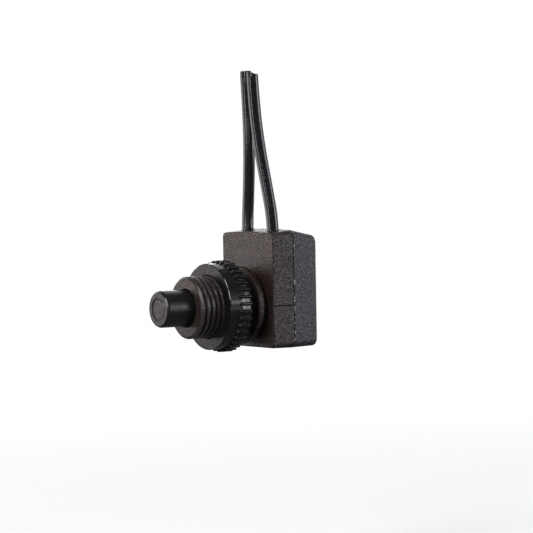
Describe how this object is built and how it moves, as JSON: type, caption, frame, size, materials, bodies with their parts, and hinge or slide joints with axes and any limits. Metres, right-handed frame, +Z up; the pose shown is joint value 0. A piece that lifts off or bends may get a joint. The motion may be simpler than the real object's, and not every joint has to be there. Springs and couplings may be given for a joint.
{
  "type": "pushbutton switch",
  "caption": "Small panel-mounted push-on, push-off switch: moulded case with threaded bushing, ribbed ring nut, round push button and two leads out of the top.",
  "frame": {"origin": "on the bushing axis, in the plane of the shoulder that seats on the panel", "axes": "-Y along the bushing towards the button, +Z up towards the leads, +X to the right seen from the button"},
  "size_m": [0.0152, 0.027, 0.0467],
  "materials": {
    "case_plastic": "fine-grained matt moulding, dark grey-brown",
    "nut_plastic": "glossy black moulding",
    "button_plastic": "glossy black side, matt face",
    "lead_insulation": "semi-gloss black insulation",
    "rotor_plastic": "natural nylon",
    "spring_steel": "bright spring wire",
    "contact_brass": "stamped brass strip",
    "rivet_metal": "bright contact metal",
    "copper": "bare copper strands"
  },
  "bodies": {
    "case": {"front_housing": "case_plastic", "rear_cover": "case_plastic", "return_spring": "spring_steel", "fixed_contact_left": "contact_brass", "fixed_contact_right": "contact_brass", "contact_rivet_left": "rivet_metal", "contact_rivet_right": "rivet_metal", "conductor_left": "copper", "conductor_right": "copper", "lead_left": "lead_insulation", "lead_right": "lead_insulation"},
    "nut": {"ring_nut": "nut_plastic"},
    "button": {"push_button": "button_plastic"},
    "rotor": {"ratchet_rotor": "rotor_plastic", "contact_bridge": "contact_brass"}
  },
  "joints": [
    {"name": "button_press", "type": "slide", "parent": "case", "child": "button", "axis": [0, 1, 0], "range_m": [0, 0.0024], "stiffness_N_per_m": 600, "springref_m": -0.003, "deforming": ["return_spring"]},
    {"name": "rotor_step", "type": "hinge", "parent": "case", "child": "rotor", "pos_m": [0, 0.004, 0], "axis": [0, -1, 0], "range_deg": [0, 45]},
    {"name": "nut_turn", "type": "hinge", "parent": "case", "child": "nut", "pos_m": [0, -0.0041, 0], "axis": [0, -1, 0], "continuous": true}
  ],
  "couplings": [
    {"joint": "rotor_step", "follows": "button_press", "rad_per_m": 327.25}
  ]
}
